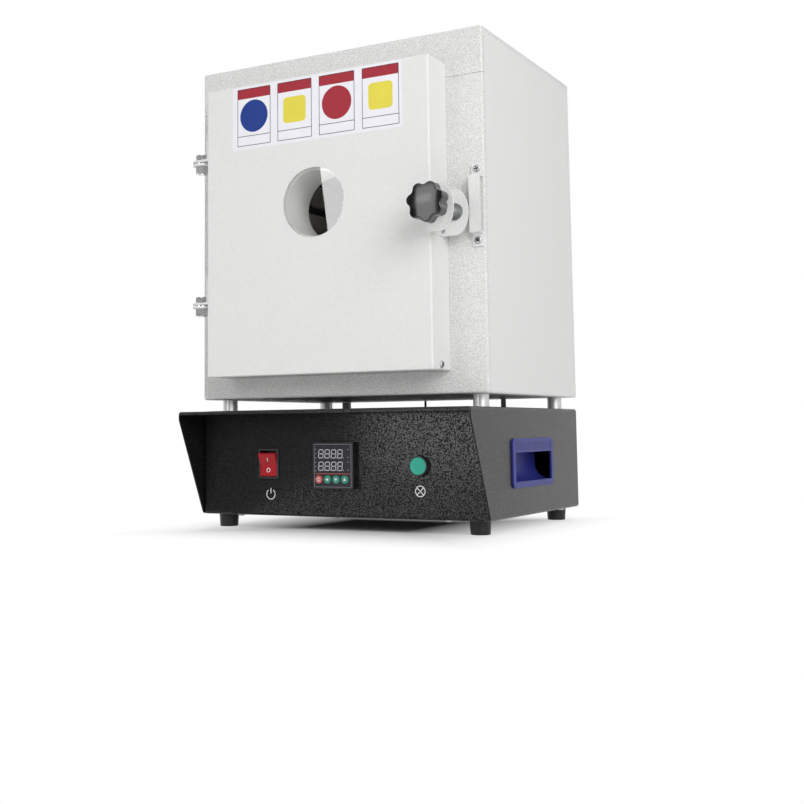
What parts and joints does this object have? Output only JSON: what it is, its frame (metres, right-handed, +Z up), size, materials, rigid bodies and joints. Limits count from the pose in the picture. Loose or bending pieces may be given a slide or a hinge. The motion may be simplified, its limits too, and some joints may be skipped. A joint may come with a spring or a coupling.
{
  "type": "burnout furnace",
  "caption": "Bench burnout furnace: insulated chamber housing on posts above a control base, side hinged door with a round viewing window and a star knob latch.",
  "frame": {"origin": "centre of the bounding box at the underside of the rubber feet", "axes": "+X to the right seen from the front, +Y to the back so that the door faces -Y, +Z up"},
  "size_m": [0.344, 0.3452, 0.505],
  "materials": {
    "white_coat": "warm white textured powder coat",
    "black_coat": "black textured powder coat",
    "zinc_steel": "bright zinc plated steel",
    "plain_steel": "satin steel",
    "rubber_black": "black rubber",
    "blue_plastic": "dark blue moulded plastic",
    "black_plastic": "black satin plastic",
    "red_plastic": "translucent red plastic",
    "green_plastic": "translucent green lens",
    "dark_face": "dark display face",
    "grey_keys": "grey key caps",
    "fibre_board": "white ceramic fibre board",
    "white_ceramic": "unglazed white ceramic",
    "window_glass": "clear heat resisting glass",
    "heating_wire": "dull oxidised resistance wire",
    "lead_sleeve": "black sleeve",
    "post_steel": "light grey turned metal"
  },
  "bodies": {
    "housing": {"base_shell": "black_coat", "control_panel": "black_coat", "base_floor": "black_coat", "base_rear_panel": "black_coat", "base_screws": "zinc_steel", "rubber_feet": "rubber_black", "handle_left": "blue_plastic", "handle_right": "blue_plastic", "spacer_posts": "post_steel", "post_bolts": "zinc_steel", "chamber_leads": "lead_sleeve", "earth_wire": "zinc_steel", "front_panel": "white_coat", "top_cover": "white_coat", "side_panel_left": "white_coat", "side_panel_right": "white_coat", "housing_floor": "white_coat", "rear_cover": "white_coat", "casing_screws": "zinc_steel", "chamber_floor": "fibre_board", "chamber_roof": "fibre_board", "chamber_wall_left": "fibre_board", "chamber_wall_right": "fibre_board", "chamber_rear_wall": "fibre_board", "backing_insulation": "fibre_board", "heating_coil_left": "heating_wire", "heating_coil_right": "heating_wire", "coil_link": "plain_steel", "thermocouple": "plain_steel", "body_hinge_brackets": "white_coat", "hinge_bolts": "zinc_steel", "hinge_nuts": "zinc_steel", "strike_strap": "white_coat", "switch_housing": "black_plastic", "controller_housing": "black_plastic", "controller_plate": "dark_face", "lamp_bezel": "black_plastic", "lamp_lens": "green_plastic", "inlet_housing": "black_plastic", "inlet_pins": "plain_steel", "heat_sink": "post_steel", "solid_state_relay": "black_plastic", "terminal_block": "black_plastic"},
    "door": {"door_skin": "white_coat", "door_back_plate": "plain_steel", "door_insulation": "fibre_board", "window_glass": "window_glass", "window_tube": "white_ceramic", "door_hinge_brackets": "white_coat", "latch_bracket": "white_coat", "latch_screws": "zinc_steel"},
    "latch": {"latch_shaft": "zinc_steel", "star_knob": "black_plastic", "latch_collar": "zinc_steel", "latch_tongue": "plain_steel"},
    "rocker": {"rocker_button": "red_plastic"},
    "key_set_cap": {"key_set": "grey_keys"},
    "key_left_cap": {"key_left": "grey_keys"},
    "key_down_cap": {"key_down": "grey_keys"},
    "key_up_cap": {"key_up": "grey_keys"}
  },
  "joints": [
    {"name": "door_hinge", "type": "hinge", "parent": "housing", "child": "door", "pos_m": [-0.15, -0.1169, 0.316], "axis": [0, 0, -1], "range_deg": [0, 180]},
    {"name": "knob_turn", "type": "hinge", "parent": "door", "child": "latch", "pos_m": [0.1445, -0.1339, 0.315], "axis": [0, 1, 0], "range_deg": [0, 90]},
    {"name": "rocker_tilt", "type": "hinge", "parent": "housing", "child": "rocker", "pos_m": [-0.0835, -0.0843, 0.0685], "axis": [-1, 0, 0], "range_deg": [0, 22]},
    {"name": "key_set_press", "type": "slide", "parent": "housing", "child": "key_set_cap", "axis": [0, 1, 0], "range_m": [0, 0.0008], "stiffness_N_per_m": 800},
    {"name": "key_left_press", "type": "slide", "parent": "housing", "child": "key_left_cap", "axis": [0, 1, 0], "range_m": [0, 0.0008], "stiffness_N_per_m": 800},
    {"name": "key_down_press", "type": "slide", "parent": "housing", "child": "key_down_cap", "axis": [0, 1, 0], "range_m": [0, 0.0008], "stiffness_N_per_m": 800},
    {"name": "key_up_press", "type": "slide", "parent": "housing", "child": "key_up_cap", "axis": [0, 1, 0], "range_m": [0, 0.0008], "stiffness_N_per_m": 800}
  ]
}
